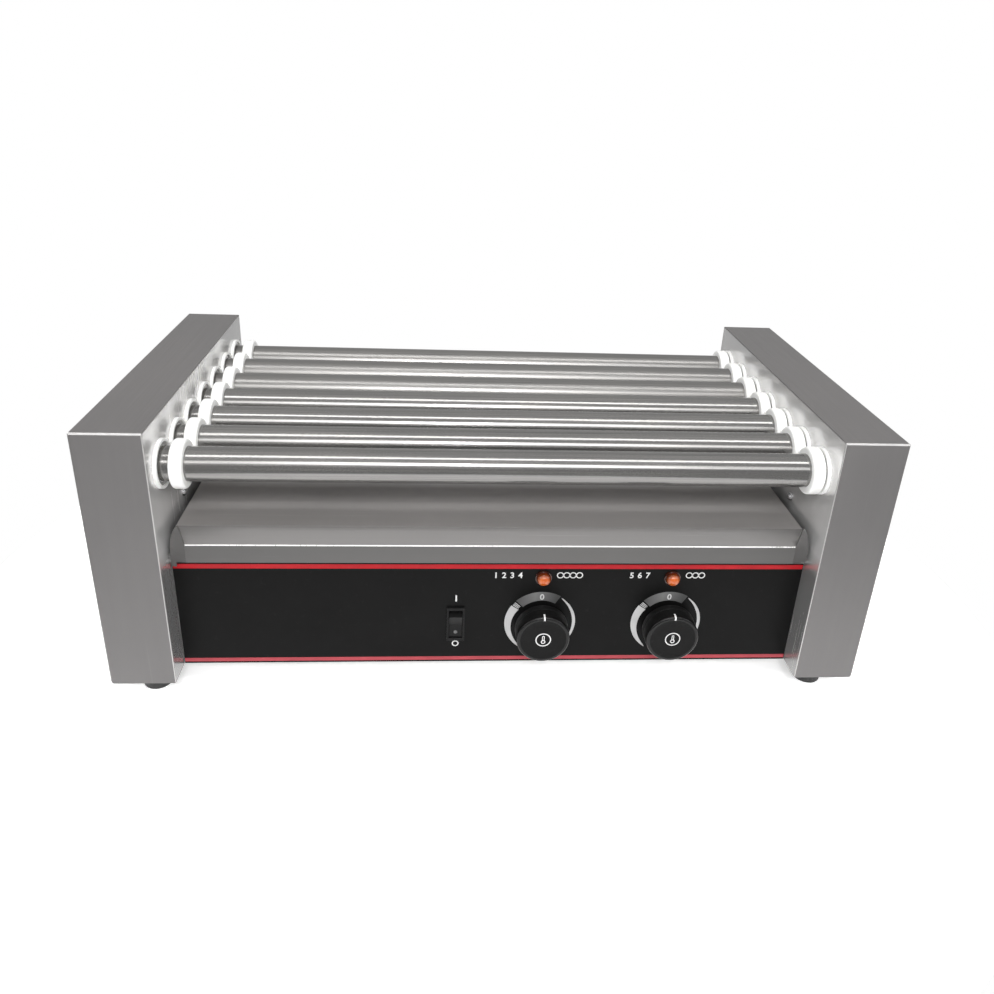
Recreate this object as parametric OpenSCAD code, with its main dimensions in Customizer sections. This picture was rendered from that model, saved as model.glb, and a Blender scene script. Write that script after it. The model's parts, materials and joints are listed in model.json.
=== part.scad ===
// Hot dog roller grill: seven heated, chain-driven rollers between two stainless end housings,
// over a pull-out drip tray and a control box. X runs along the rollers, Y to the back, Z up.
// The origin is on the counter, under the middle of the machine.

/* [Overall] */
// Width over both end housings
overall_w = 578; // [560:1:620]
// Depth of the end housings
overall_d = 286; // [284:1:300]
// Height of the end housings, without the feet
housing_h = 206.5; // [204:0.5:215]
// Width of each end housing
housing_w = 48; // [47:0.5:55]
// Height of the rubber feet
foot_h = 16; // [12:0.5:25]

/* [Rollers] */
// Outer diameter of the roller tubes
roller_d = 25.4; // [25:0.1:26]
// Wall of the roller tubes
roller_wall = 1.2; // [1:0.1:1.4]
// Height of the roller axes above the bottom of the housings
roller_rise = 171; // [170:0.5:172]
// Outer diameter of the white collars and bush flanges
collar_d = 36; // [34:0.5:37]
// Length of each collar
collar_l = 9.2; // [7:0.1:9.5]
// Free play between the left collars and the left bushes
left_play = 7.2; // [4:0.1:8]

/* [Control panel] */
// Distance from the front of the housings back to the face of the panel
panel_recess = 22.9; // [22.5:0.1:24]
// Height of the printed overlay
overlay_h = 91.6; // [88:0.1:92]
// Place of the front heat knob along X
front_knob_x = 36.3; // [33:0.1:45]
// Place of the rear heat knob along X
rear_knob_x = 137.2; // [120:0.1:150]
// Height of the knobs above the bottom of the housings
knob_rise = 37.8; // [35:0.1:40]
// Height of the pilot lamps above the bottom of the housings
lamp_rise = 79.6; // [78:0.1:80]
// Place of the mains switch along X
switch_x = -30.4; // [-60:0.1:-20]
// Height of the middle of the mains switch above the bottom of the housings
switch_rise = 37.2; // [35:0.1:40]
// Diameter of the knobs
knob_d = 41.6; // [38:0.1:42]

/* [Drip tray] */
// Distance from the front of the housings back to the front lip of the tray
tray_recess = 15; // [14:0.5:17]
// Height of the top of the tray above the bottom of the housings
tray_rise = 120.7; // [118:0.1:122]
// Height of the front lip
tray_lip_h = 15; // [12:0.5:16]

/* [Hidden] */

$fn = 48;
eps = 0.01;

// Sheet metal
cover_t = 1;      // end covers and flanges
wall_t = 1.5;     // bearing walls
plate_t = 1.2;    // chassis plates
seam = 0.1;       // gap where two sheets meet
bend_r = 2.5;     // outside radius of the covers' bends
foot_bend_r = 3.2;
lip_r = 0.8;      // rounding of the covers' inner upright edges
flange_w = 12;    // flanges of the bearing walls

// Main planes
front_y = -overall_d / 2;
back_y = overall_d / 2;
wall_x = overall_w / 2 - housing_w;
panel_y = front_y + panel_recess;
rear_y = -panel_y;
base_z = foot_h;
roller_z = base_z + roller_rise;
deck_top = base_z + tray_rise - 23.4;
panel_top = deck_top - 2.4;
inner_w = 2 * (wall_x - seam);

// Rollers and their drive: a 12-tooth sprocket on 6.35 mm chain, six links from roller to roller
roller_count = 7;
chain_pitch = 6.35;
roller_pitch = 6 * chain_pitch;
row_half = roller_pitch * (roller_count - 1) / 2;
roller_y = [for (i = [0 : roller_count - 1]) -row_half + i * roller_pitch];
teeth = 12;
pitch_r = chain_pitch / 2 / sin(180 / teeth);
run_links = 25;   // links in each slanting run of the chain
motor_drop = sqrt(pow(run_links * chain_pitch, 2) - pow(row_half, 2));
motor_z = roller_z - motor_drop;
chain_x = wall_x + 15;        // middle plane of the chain
tube_end = wall_x + 9;
pin_r = 1.65;
bush_r = 15;
flange_t = 2.5;
running = 0.05;   // radial clearance of each running fit
right_play = 0.8;

// Feet and fasteners
foot_x = overall_w / 2 - 27;
foot_y = overall_d / 2 - 23;
foot_screw_r = 2.5;
screw_r = 2;
cover_screw_y = [-100, 0, 100];
chassis_screw_y = [-85, 85];
rear_screw_x = [-220, -75, 75, 220];
guide_screw_y = [front_y + 68, back_y - 68];
guide_screw_z = base_z + 128;
low_screw_z = base_z + 7.5;

// Controls
knob_z = base_z + knob_rise;
knob_face_y = front_y + 0.3;
knob_back_y = front_y + 17;
knob_hub_y = panel_y - 1.2;
shaft_r = 3;
lamp_z = base_z + lamp_rise;
lamp_r = 6.3;
lamp_body_r = 4.9;
overlay_t = 0.6;
overlay_z = base_z + 0.4;
panel_back_y = panel_y + overlay_t + plate_t;
switch_z = base_z + switch_rise;
switch_w = 14;
switch_h = 30.5;
rocker_w = 10.2;
rocker_tilt = 11;
rocker_y = panel_y + 6;
rocker_pin_r = 1;

// Drip tray
tray_y = front_y + tray_recess;
tray_top = base_z + tray_rise;
tray_bottom = deck_top + seam;
tray_half = 236;
tray_shelf_y = front_y + 28;      // where the sloping lip meets the flat shelf
tray_pan_y = front_y + 106;       // front edge of the pan
tray_back = back_y - 20;
lip_half = 227.5;                 // half width of the lip, between its ears
ear_w = 11.4;
ear_turn = 12;

// Mains inlet and wiring
gland_x = -190;
gland_z = base_z + 34;
cord_r = 4;
terminal_x = -130;
wire_r = 1.3;
wire_port_y = 62;
wire_port_z = base_z + 38;

// Shapes used by several parts

// A cylinder along X from x0 to x1
module rod_x(x0, x1, r, r2 = -1) {
  translate([x0, 0, 0]) rotate([0, 90, 0]) cylinder(h = x1 - x0, r1 = r, r2 = r2 < 0 ? r : r2);
}

// A cylinder along Y from y0 to y1
module rod_y(y0, y1, r, r2 = -1) {
  translate([0, y0, 0]) rotate([-90, 0, 0]) cylinder(h = y1 - y0, r1 = r, r2 = r2 < 0 ? r : r2);
}

// A tube along X
module tube_x(x0, x1, r, bore) {
  difference() {
    rod_x(x0, x1, r);
    rod_x(x0 - 1, x1 + 1, bore);
  }
}

// A box between two corners
module block(lo, hi) {
  translate(lo) cube(hi - lo);
}

// Removes the sharp edge of a bend that runs along Z through the origin, for a body at +X +Y
module bend_edge(r, l) {
  translate([-eps, -eps, 0]) difference() {
    cube([r + eps, r + eps, l]);
    translate([r + eps, r + eps, -1]) cylinder(h = l + 2, r = r);
  }
}

// A slot with round ends, l long and w wide, along X, cut through in Z
module slot_z(l, w, h) {
  translate([-l / 2 + w / 2, -w / 2, 0]) cube([l - w, w, h]);
  for (s = [-1, 1]) translate([s * (l - w) / 2, 0, 0]) cylinder(h = h, r = w / 2, $fn = 24);
}

// Places the children on the given side of the machine: 1 is right, -1 is left
module side(s) {
  if (s > 0) children();
  else mirror([1, 0, 0]) children();
}

// End housings

// Removes the sharp lower outer edge of a housing
module round_bottom() {
  translate([overall_w / 2, front_y - 1, base_z]) rotate([-90, 0, 0]) mirror([1, 0, 0]) mirror([0, 1, 0])
    bend_edge(foot_bend_r, overall_d + 2);
}

module end_cover(s) {
  x1 = overall_w / 2;
  top = base_z + housing_h;
  color([0.62, 0.62, 0.63]) side(s) difference() {
    block([wall_x, front_y, base_z], [x1, back_y, top]);
    block([wall_x - 1, front_y + cover_t, base_z - 1], [x1 - cover_t, back_y - cover_t, top - cover_t]);
    // Bends: the two upright outer edges, then the three edges of the top
    translate([x1, front_y, base_z - 1]) mirror([1, 0, 0]) bend_edge(bend_r, housing_h + 2);
    translate([x1, back_y, base_z - 1]) mirror([1, 0, 0]) mirror([0, 1, 0])
      bend_edge(bend_r, housing_h + 2);
    translate([x1, front_y - 1, top]) rotate([-90, 0, 0]) mirror([1, 0, 0])
      bend_edge(bend_r, overall_d + 2);
    translate([wall_x - 1, front_y, top]) rotate([90, 0, 90]) mirror([0, 1, 0])
      bend_edge(bend_r, housing_w + 2);
    translate([wall_x - 1, back_y, top]) rotate([90, 0, 90]) mirror([0, 1, 0]) mirror([1, 0, 0])
      bend_edge(bend_r, housing_w + 2);
    round_bottom();
    // The upright edges beside the bearing wall
    translate([wall_x, front_y, base_z - 1]) bend_edge(lip_r, housing_h + 2);
    translate([wall_x, back_y, base_z - 1]) mirror([0, 1, 0]) bend_edge(lip_r, housing_h + 2);
    for (y = cover_screw_y)
      translate([0, y, low_screw_z]) rod_x(x1 - cover_t - eps, x1 + eps, screw_r + running, 3.05 + running);
  }
}

module bearing_wall(s) {
  y1 = back_y - cover_t - seam;
  z0 = base_z + plate_t + seam;
  z1 = base_z + housing_h - cover_t - seam;
  x1 = wall_x + wall_t;
  color([0.66, 0.66, 0.67]) side(s) difference() {
    block([wall_x, -y1, z0], [wall_x + flange_w, y1, z1]);
    block([x1, -y1 + cover_t, z0 + cover_t], [wall_x + flange_w + 1, y1 - cover_t, z1 - cover_t]);
    for (y = roller_y) translate([0, y, roller_z]) rod_x(wall_x - 1, x1 + 1, bush_r + running);
    for (y = guide_screw_y) translate([0, y, guide_screw_z]) rod_x(wall_x - 1, x1 + 1, screw_r + running);
    for (y = chassis_screw_y) translate([0, y, low_screw_z]) rod_x(wall_x - 1, x1 + 1, screw_r + running);
    translate([0, 0, motor_z]) rod_x(wall_x - 1, x1 + 1, 9);
    translate([0, wire_port_y, wire_port_z]) rod_x(wall_x - 1, x1 + 1, 8);
  }
}

module base_plate(s) {
  x0 = wall_x + seam;
  x1 = overall_w / 2 - cover_t - seam;
  y1 = back_y - cover_t - seam;
  rim = base_z + 13;
  color([0.6, 0.6, 0.6]) side(s) difference() {
    union() {
      block([x0, -y1, base_z], [x1, y1, base_z + plate_t]);
      block([x1 - cover_t, -y1, base_z], [x1, y1, rim]);
      for (t = [-1, 1]) block(
        [wall_x + flange_w + 1, t > 0 ? y1 - cover_t : -y1, base_z],
        [x1, t > 0 ? y1 : -y1 + cover_t, rim]);
    }
    for (t = [-1, 1]) translate([foot_x, t * foot_y, base_z - 1]) cylinder(h = 4, r = foot_screw_r + 0.1);
    for (y = cover_screw_y) translate([0, y, low_screw_z]) rod_x(x1 - 2, x1 + 1, screw_r + running);
    round_bottom();
    for (i = [-2 : 2]) translate([(x0 + x1) / 2 - 4, i * 26, base_z - 1]) slot_z(22, 4, 4);
  }
}

module foot(r_top = 13, r_bottom = 11, well_r = 6, well_h = 8) {
  difference() {
    cylinder(h = foot_h, r1 = r_bottom, r2 = r_top);
    translate([0, 0, -1]) cylinder(h = well_h + 1, r = well_r);
    translate([0, 0, -1]) cylinder(h = foot_h + 2, r = foot_screw_r + 0.1);
  }
}

module at_feet() {
  for (sx = [-1, 1], sy = [-1, 1]) translate([sx * foot_x, sy * foot_y, 0]) children();
}

module rubber_feet() {
  color([0.06, 0.06, 0.06]) at_feet() foot();
}

// A pan-head screw through each foot, and its nut on the base plate
module foot_fasteners() {
  head_z = 8;
  nut_z = base_z + plate_t;
  color([0.7, 0.7, 0.7]) at_feet() {
    difference() {
      union() {
        translate([0, 0, head_z - 3]) cylinder(h = 3, r = 4.6);
        translate([0, 0, head_z - eps]) cylinder(h = nut_z + 6 - head_z, r = foot_screw_r);
      }
      for (a = [0, 90]) rotate([0, 0, a]) block([-3, -0.5, head_z - 4], [3, 0.5, head_z - 1.4]);
    }
    difference() {
      translate([0, 0, nut_z]) cylinder(h = 4, r = 4.6, $fn = 6);
      translate([0, 0, nut_z - 1]) cylinder(h = 6, r = foot_screw_r + running);
    }
  }
}

// Countersunk screws that hold the covers to the base plates, flush with the outer sides
module cover_screws() {
  x1 = overall_w / 2;
  color([0.75, 0.75, 0.76]) for (s = [-1, 1], y = cover_screw_y) side(s)
    translate([0, y, low_screw_z]) difference() {
      union() {
        rod_x(x1 - cover_t, x1, screw_r, 3.05);
        rod_x(x1 - 9, x1 - cover_t + eps, screw_r);
      }
      for (a = [0, 90]) rotate([a, 0, 0]) block([x1 - 0.7, -1.9, -0.35], [x1 + 1, 1.9, 0.35]);
    }
}

// Control box

module chassis_bottom() {
  x1 = inner_w / 2;
  y0 = panel_back_y + seam;
  y1 = rear_y - plate_t - seam;
  lip = base_z + 14;
  color([0.6, 0.6, 0.6]) difference() {
    union() {
      block([-x1, y0, base_z], [x1, y1, base_z + plate_t]);
      for (s = [-1, 1]) side(s) block([x1 - cover_t, y0, base_z], [x1, y1, lip]);
      block([-x1, y1 - cover_t, base_z], [x1, y1, lip]);
      block([-x1, y0, base_z], [x1, y0 + cover_t, lip]);
    }
    for (s = [-1, 1], y = chassis_screw_y) side(s)
      translate([0, y, low_screw_z]) rod_x(x1 - 3, x1 + 1, screw_r + running);
    for (x = rear_screw_x) translate([x, 0, low_screw_z]) rod_y(y1 - 3, y1 + 1, screw_r + running);
    for (i = [-4 : 4], y = [-40, 0, 40]) translate([i * 44, y, base_z - 1]) slot_z(26, 4, 4);
  }
}

module knob_places() {
  for (x = [front_knob_x, rear_knob_x]) translate([x, 0, 0]) children();
}

// The holes for the knob shafts, lamps and switch, cut through along Y
module control_holes(y0, y1) {
  knob_places() {
    translate([0, 0, knob_z]) rod_y(y0, y1, 5.2);
    translate([0, 0, lamp_z]) rod_y(y0, y1, lamp_body_r + 0.1);
  }
  block([switch_x - 6.1, y0, switch_z - 13.9], [switch_x + 6.1, y1, switch_z + 13.9]);
}

module front_panel() {
  y0 = panel_y + overlay_t;
  y1 = y0 + plate_t;
  x1 = inner_w / 2;
  color([0.62, 0.62, 0.63]) difference() {
    union() {
      block([-x1, y0, base_z], [x1, y1, panel_top]);
      block([-x1, y0, panel_top - cover_t], [x1, y1 + 8, panel_top]);
    }
    control_holes(y0 - 1, y1 + 1);
  }
}

module panel_overlay() {
  x1 = inner_w / 2 - 0.4;
  color([0.03, 0.03, 0.03]) difference() {
    block([-x1, panel_y, overlay_z], [x1, panel_y + overlay_t, overlay_z + overlay_h]);
    control_holes(panel_y - 1, panel_y + overlay_t + 1);
  }
}

module rear_panel() {
  y0 = rear_y - plate_t;
  x1 = inner_w / 2;
  color([0.62, 0.62, 0.63]) difference() {
    union() {
      block([-x1, y0, base_z], [x1, rear_y, panel_top]);
      block([-x1, y0 - 8, panel_top - cover_t], [x1, rear_y, panel_top]);
    }
    for (x = rear_screw_x) translate([x, 0, low_screw_z]) rod_y(y0 - 1, rear_y + 1, screw_r + running);
    translate([gland_x, 0, gland_z]) rod_y(y0 - 1, rear_y + 1, 8.1);
    for (x = [-95, 35, 165], i = [0 : 4])
      translate([x, y0 - 1, base_z + 30 + i * 10]) rotate([-90, 0, 0]) slot_z(70, 3.6, 4);
  }
}

module deck_plate() {
  x1 = inner_w / 2;
  y1 = rear_y;
  z0 = deck_top - 16;
  color([0.64, 0.64, 0.65]) difference() {
    block([-x1, panel_y + overlay_t, z0], [x1, y1, deck_top]);
    block([-x1 + cover_t, panel_y - 1, z0 - 1], [x1 - cover_t, y1 + 1, deck_top - plate_t]);
    for (t = [-1, 1]) translate([0, t > 0 ? rear_y - 14 : panel_y - 1, 0])
      block([-x1 - 1, 0, z0 - 1], [x1 + 1, 15, panel_top + seam]);
    // Room for the motor in the right-hand flange
    block([x1 - 2, -28, z0 - 1], [x1 + 1, 28, motor_z + 31]);
  }
}

// Pan-head screws: chassis to bearing walls, and rear panel to chassis
module pan_screw(l) {
  difference() {
    union() {
      cylinder(h = 1.7, r = 3.6);
      translate([0, 0, -l]) cylinder(h = l + eps, r = screw_r);
    }
    for (a = [0, 90]) rotate([0, 0, a]) block([-2, -0.4, 0.8], [2, 0.4, 3]);
  }
}

module chassis_screws() {
  color([0.75, 0.75, 0.76]) {
    for (s = [-1, 1], y = chassis_screw_y) side(s)
      translate([wall_x + wall_t, y, low_screw_z]) rotate([0, 90, 0]) pan_screw(6);
    for (x = rear_screw_x) translate([x, rear_y, low_screw_z]) rotate([-90, 0, 0]) pan_screw(6);
  }
}

// Dome-head screws on the inner faces of the walls, just above the edges of the tray
module tray_guide_screws() {
  head_r = 3.6;
  head_h = 3;
  ball_r = (head_r * head_r + head_h * head_h) / 2 / head_h;
  color([0.8, 0.8, 0.82]) for (s = [-1, 1], y = guide_screw_y) side(s)
    translate([wall_x, y, guide_screw_z]) {
      intersection() {
        translate([ball_r - head_h, 0, 0]) sphere(r = ball_r);
        rod_x(-head_h - 1, 0, head_r);
      }
      rod_x(-eps, 8, screw_r);
      difference() {
        rod_x(wall_t, wall_t + 3, 3.9);
        rod_x(wall_t - 1, wall_t + 4, screw_r + running);
      }
    }
}

// Rollers

// A flanged bush in the bearing wall: a barrel, and a flange with a raised rim
module wall_bush() {
  bore = roller_d / 2 + running;
  rim_r = collar_d / 2;
  difference() {
    union() {
      rod_x(wall_x - 0.001, wall_x + 5, bush_r);
      rod_x(wall_x - flange_t, wall_x, rim_r);
    }
    rod_x(wall_x - flange_t - 1, wall_x + 6, bore);
    rod_x(wall_x - flange_t - 1, wall_x - flange_t + 1.3, rim_r - 2.2);
  }
}

module wall_bushes(s) {
  color([0.93, 0.93, 0.9]) side(s) for (y = roller_y) translate([0, y, roller_z]) wall_bush();
}

module roller_tube(i) {
  color([0.78, 0.78, 0.8]) translate([0, roller_y[i], roller_z])
    tube_x(-tube_end, tube_end, roller_d / 2, roller_d / 2 - roller_wall);
}

// A collar with rounded rims, pressed onto the tube, its left face at x
module collar(x, round_r = 2) {
  r = collar_d / 2;
  bore = roller_d / 2;
  translate([x, 0, 0]) rotate([0, 90, 0]) rotate_extrude() {
    translate([bore, 0]) square([r - round_r - bore, collar_l]);
    translate([bore, round_r]) square([r - bore, collar_l - 2 * round_r]);
    for (z = [round_r, collar_l - round_r]) translate([r - round_r, z]) circle(r = round_r, $fn = 32);
  }
}

module roller_collars(i) {
  color([0.95, 0.95, 0.93]) translate([0, roller_y[i], roller_z]) {
    collar(-wall_x + flange_t + left_play);
    collar(wall_x - flange_t - right_play - collar_l);
  }
}

// Sprocket profile: a gap for a chain pin at the top and at every tooth pitch from it
module sprocket_profile(tip_r = 13.4, seat_r = 1.95) {
  difference() {
    circle(r = tip_r);
    for (k = [0 : teeth - 1]) rotate(k * 360 / teeth) {
      translate([0, pitch_r]) circle(r = seat_r, $fn = 24);
      polygon([[-seat_r, pitch_r], [seat_r, pitch_r], [2.7, tip_r + 1], [-2.7, tip_r + 1]]);
    }
  }
}

// The sprocket lies in the YZ plane with a gap at +Z
module sprocket(thick = 2.8) {
  translate([chain_x - thick / 2, 0, 0]) rotate([0, 90, 0]) rotate([0, 0, 90])
    linear_extrude(thick) sprocket_profile();
}

// A hollow hub that plugs into the driven end of the tube and carries the sprocket
module roller_sprocket(i, hub_bore = 6) {
  color([0.5, 0.5, 0.52]) translate([0, roller_y[i], roller_z]) difference() {
    union() {
      sprocket();
      rod_x(tube_end - 10, tube_end, roller_d / 2 - roller_wall - 0.005);
      rod_x(tube_end - eps, chain_x + 5, 8);
    }
    rod_x(tube_end - 11, chain_x + 6, hub_bore);
  }
}

// Drive

// The pitch loop of the chain, moved out by d: two roller ends, the motor end, straight runs between
module chain_loop(d) {
  r = pitch_r + d;
  centres = [[-row_half, roller_z], [row_half, roller_z], [0, motor_z]];
  slope = atan2(motor_drop, row_half);
  n = [-sin(slope) * r, -cos(slope) * r];
  union() {
    for (c = centres) translate(c) circle(r = r);
    polygon([
      centres[0] + [0, r], centres[1] + [0, r],
      centres[1] + [-n[0], n[1]], centres[2] + [-n[0], n[1]],
      centres[2] + n, centres[0] + n,
    ]);
  }
}

// Centres of the chain pins as [y, z], link by link around the loop
function on_sprocket(y, z, a) = [y - pitch_r * sin(a), z + pitch_r * cos(a)];
chain_pins = concat(
  [for (k = [1 : 6 * (roller_count - 1)]) [row_half - k * chain_pitch, roller_z + pitch_r]],
  [for (a = [30 : 30 : 120]) on_sprocket(-row_half, roller_z, a)],
  [for (k = [1 : run_links])
    on_sprocket(-row_half, roller_z, 120) + k / run_links * [row_half, -motor_drop]],
  [for (a = [150 : 30 : 240]) on_sprocket(0, motor_z, a)],
  [for (k = [1 : run_links]) on_sprocket(0, motor_z, 240) + k / run_links * [row_half, motor_drop]],
  [for (a = [270 : 30 : 360]) on_sprocket(row_half, roller_z, a)]
);

module drive_chain(plate_in = 1.9, plate_out = 3.2, half_h = 2.5) {
  color([0.35, 0.34, 0.33]) {
    for (s = [-1, 1]) translate([chain_x + (s > 0 ? plate_in : -plate_out), 0, 0])
      rotate([90, 0, 90]) linear_extrude(plate_out - plate_in) difference() {
        chain_loop(half_h);
        chain_loop(-half_h);
      }
    for (p = chain_pins) translate([0, p[0], p[1]])
      rod_x(chain_x - plate_out - 0.4, chain_x + plate_out + 0.4, pin_r, $fn = 16);
  }
}

// A strip on two posts that keeps the top run of the chain down on the sprockets
module chain_guide() {
  z0 = roller_z + pitch_r + 3;
  color([0.9, 0.9, 0.86]) {
    block([chain_x - 4, -100, z0], [chain_x + 4, 100, z0 + 4]);
    for (s = [-1, 1]) translate([0, s * 1.5 * roller_pitch, z0 + 2])
      rod_x(wall_x + wall_t, chain_x - 3.9, 1.8);
  }
}

module gear_motor() {
  x1 = wall_x - seam;
  color([0.55, 0.56, 0.58]) translate([0, 0, motor_z]) difference() {
    union() {
      rod_x(x1 - 24, x1, 30);
      rod_x(x1 - 62, x1 - 24 + eps, 26);
      rod_x(x1 - 68, x1 - 62 + eps, 9);
      for (a = [0 : 3]) rotate([a * 90 + 45, 0, 0]) block([x1 - 24, -4, 28], [x1, 4, 34]);
    }
    rod_x(x1 - 14, x1 + 1, 4 + running);
  }
}

// The motor's output shaft and its sprocket
module motor_sprocket() {
  color([0.5, 0.5, 0.52]) translate([0, 0, motor_z]) {
    sprocket();
    rod_x(chain_x - 5, chain_x + 5, 8);
    rod_x(wall_x - seam - 13, chain_x + 7, 4);
  }
}

// Heating

element_r = 4;
element_x0 = -(wall_x + 25);
element_x1 = wall_x + 35;
bracket_lx = wall_x + 19;
bracket_rx = wall_x + 29;

// A sheathed heating rod through each roller, with a terminal pin at each end
module heating_elements() {
  color([0.3, 0.27, 0.25]) for (y = roller_y) translate([0, y, roller_z]) {
    rod_x(element_x0, element_x1, element_r);
    rod_x(element_x0 - 8, element_x1 + 8, 1.2);
  }
}

module element_insulators() {
  color([0.88, 0.86, 0.8]) for (y = roller_y) translate([0, y, roller_z]) {
    tube_x(element_x0 - 4, element_x0, 3.4, 1.25);
    tube_x(element_x1, element_x1 + 4, 3.4, 1.25);
  }
}

// A strip across the ends of the rods, standing on two legs on the bearing wall
module element_bracket(s, x, half_h = 9) {
  y1 = row_half + 20;
  color([0.6, 0.6, 0.6]) side(s) difference() {
    block([wall_x + wall_t, -y1, roller_z - half_h], [x + plate_t, y1, roller_z + half_h]);
    block([wall_x, -y1 + plate_t, roller_z - half_h - 1], [x, y1 - plate_t, roller_z + half_h + 1]);
    for (y = roller_y) translate([0, y, roller_z]) rod_x(x - 1, x + plate_t + 1, element_r + 0.1);
  }
}

// Controls

// A round knob about the Y axis: a hub towards the panel, a straight grip and a bevelled face
module knob(x) {
  r = knob_d / 2;
  depth = knob_back_y - knob_face_y;
  hub = knob_hub_y - knob_face_y;
  color([0.05, 0.05, 0.05]) translate([x, knob_face_y, knob_z]) rotate([-90, 0, 0]) difference() {
    rotate_extrude() polygon([
      [0, 0.5], [r - 4, 0.5], [r - 3.4, 0], [r - 1.8, 0], [r - 0.4, 1.4],
      [r, depth - 1.2], [r - 1.2, depth], [14, depth], [14, hub], [0, hub],
    ]);
    translate([0, 0, 4.4]) cylinder(h = hub, r = shaft_r + 0.005);
  }
}

module knob_shaft(x) {
  color([0.75, 0.75, 0.76]) translate([x, 0, knob_z]) rod_y(knob_face_y + 4.6, panel_y + 12, shaft_r);
}

module thermostat(x) {
  y0 = panel_back_y;
  color([0.8, 0.79, 0.74]) translate([x, 0, knob_z]) difference() {
    union() {
      block([-21, y0 + seam, -16], [21, y0 + 26, 16]);
      rod_y(panel_y + 0.1, y0 + 1, 5);
      for (s = [-1, 1], t = [-1, 1])
        block([s * 12 - 3, y0 + 25, t * 8 - 0.4], [s * 12 + 3, y0 + 34, t * 8 + 0.4]);
    }
    rod_y(panel_y - 1, panel_y + 13, shaft_r + running);
  }
}

// An amber dome on a short collar, with its body behind the panel
module pilot_lamps() {
  dome_y = panel_y - 1.4;
  color([0.9, 0.35, 0.05]) knob_places() translate([0, 0, lamp_z]) {
    rod_y(dome_y, panel_y, lamp_r);
    intersection() {
      translate([0, dome_y, 0]) sphere(r = lamp_r - 0.5);
      rod_y(dome_y - 8, dome_y + eps, lamp_r);
    }
    rod_y(panel_y - eps, panel_y + 20, lamp_body_r);
    for (s = [-1, 1]) block([s * 2.2 - 0.4, panel_y + 19, -1.5], [s * 2.2 + 0.4, panel_y + 27, 1.5]);
  }
}

module switch_housing(bezel = 2) {
  y0 = panel_y - bezel;
  color([0.05, 0.05, 0.05]) translate([switch_x, 0, switch_z]) difference() {
    union() {
      block([-switch_w / 2, y0, -switch_h / 2], [switch_w / 2, panel_y, switch_h / 2]);
      block([-6, panel_y - eps, -13.8], [6, panel_y + 20, 13.8]);
      for (z = [-8, 0, 8]) block([-2.4, panel_y + 19, z - 0.4], [2.4, panel_y + 28, z + 0.4]);
    }
    block([-rocker_w / 2 - 0.25, y0 - 1, -12.9], [rocker_w / 2 + 0.25, rocker_y + 8, 12.9]);
    translate([0, rocker_y, 0]) rod_x(-7, 7, rocker_pin_r + running);
  }
}

// The rocker on its pin, drawn level and then tilted: its lower half is pressed in, which is off
module switch_rocker() {
  color([0.07, 0.07, 0.07]) translate([switch_x, rocker_y, switch_z]) rotate([rocker_tilt, 0, 0]) {
    translate([-rocker_w / 2, 0, 0]) rotate([90, 0, 90]) linear_extrude(rocker_w)
      polygon([[-9, 10.8], [-6.4, 0], [-9, -10.8], [-1, -11.4], [3.5, -5], [3.5, 5], [-1, 11.4]]);
    rod_x(-rocker_w / 2 - 0.75, rocker_w / 2 + 0.75, rocker_pin_r);
  }
}

// Mains inlet and wiring

module terminal_block() {
  color([0.85, 0.84, 0.8]) translate([terminal_x, 60, base_z + plate_t]) difference() {
    cube([56, 22, 16]);
    for (i = [0 : 4]) translate([8 + i * 10, 11, 9]) cylinder(h = 8, r = 3);
    for (i = [0 : 3]) translate([12.5 + i * 10, -1, 10]) cube([1, 24, 7]);
  }
}

module cord_gland() {
  y0 = rear_y - plate_t;
  color([0.08, 0.08, 0.08]) translate([gland_x, 0, gland_z]) difference() {
    union() {
      rod_y(y0 - 9, rear_y + 1, 8);
      rod_y(rear_y, rear_y + 4, 12);
      rod_y(rear_y + 4 - eps, rear_y + 15, 10, 7.5);
      translate([0, y0 - seam, 0]) rotate([90, 0, 0]) cylinder(h = 4, r = 12, $fn = 6);
    }
    rod_y(y0 - 10, rear_y + 16, cord_r);
  }
}

// One wire through a list of points, each leg reaching a little past the next corner
module wire(points) {
  for (i = [0 : len(points) - 2]) {
    v = points[i + 1] - points[i];
    reach = i < len(points) - 2 ? wire_r : 0;
    translate(points[i]) rotate([0, acos(v[2] / norm(v)), atan2(v[1], v[0])])
      cylinder(h = norm(v) + reach, r = wire_r, $fn = 8);
  }
}

// A lead from one well of the terminal block, up, forwards and across, to a tab behind the panel
module lead(well, lane_y, lane_z, x, tab_y, z) {
  w = terminal_x + 8 + well * 10;
  wire([
    [w, 71, base_z + 12], [w, 71, lane_z], [w, lane_y, lane_z],
    [x, lane_y, lane_z], [x, lane_y, z], [x, tab_y, z],
  ]);
}

module wiring_loom() {
  tab_y = panel_back_y + 34.3;
  color([0.55, 0.12, 0.1]) {
    lead(0, -10, base_z + 44, switch_x, panel_y + 28.3, switch_z - 8);
    lead(1, -20, base_z + 50, front_knob_x + 12, tab_y, knob_z - 8);
    lead(2, -30, base_z + 56, rear_knob_x + 12, tab_y, knob_z - 8);
    wire([
      [terminal_x + 38, 71, base_z + 12], [terminal_x + 38, 71, motor_z],
      [terminal_x + 38, 0, motor_z], [wall_x - 68.4, 0, motor_z],
    ]);
    for (x = [front_knob_x, rear_knob_x]) wire([
      [x + 2.2, panel_y + 27.3, lamp_z], [x + 2.2, tab_y + 5, lamp_z], [x + 2.2, tab_y + 5, knob_z + 8],
      [x + 12, tab_y + 5, knob_z + 8], [x + 12, tab_y, knob_z + 8],
    ]);
  }
}

// Drip tray

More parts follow.
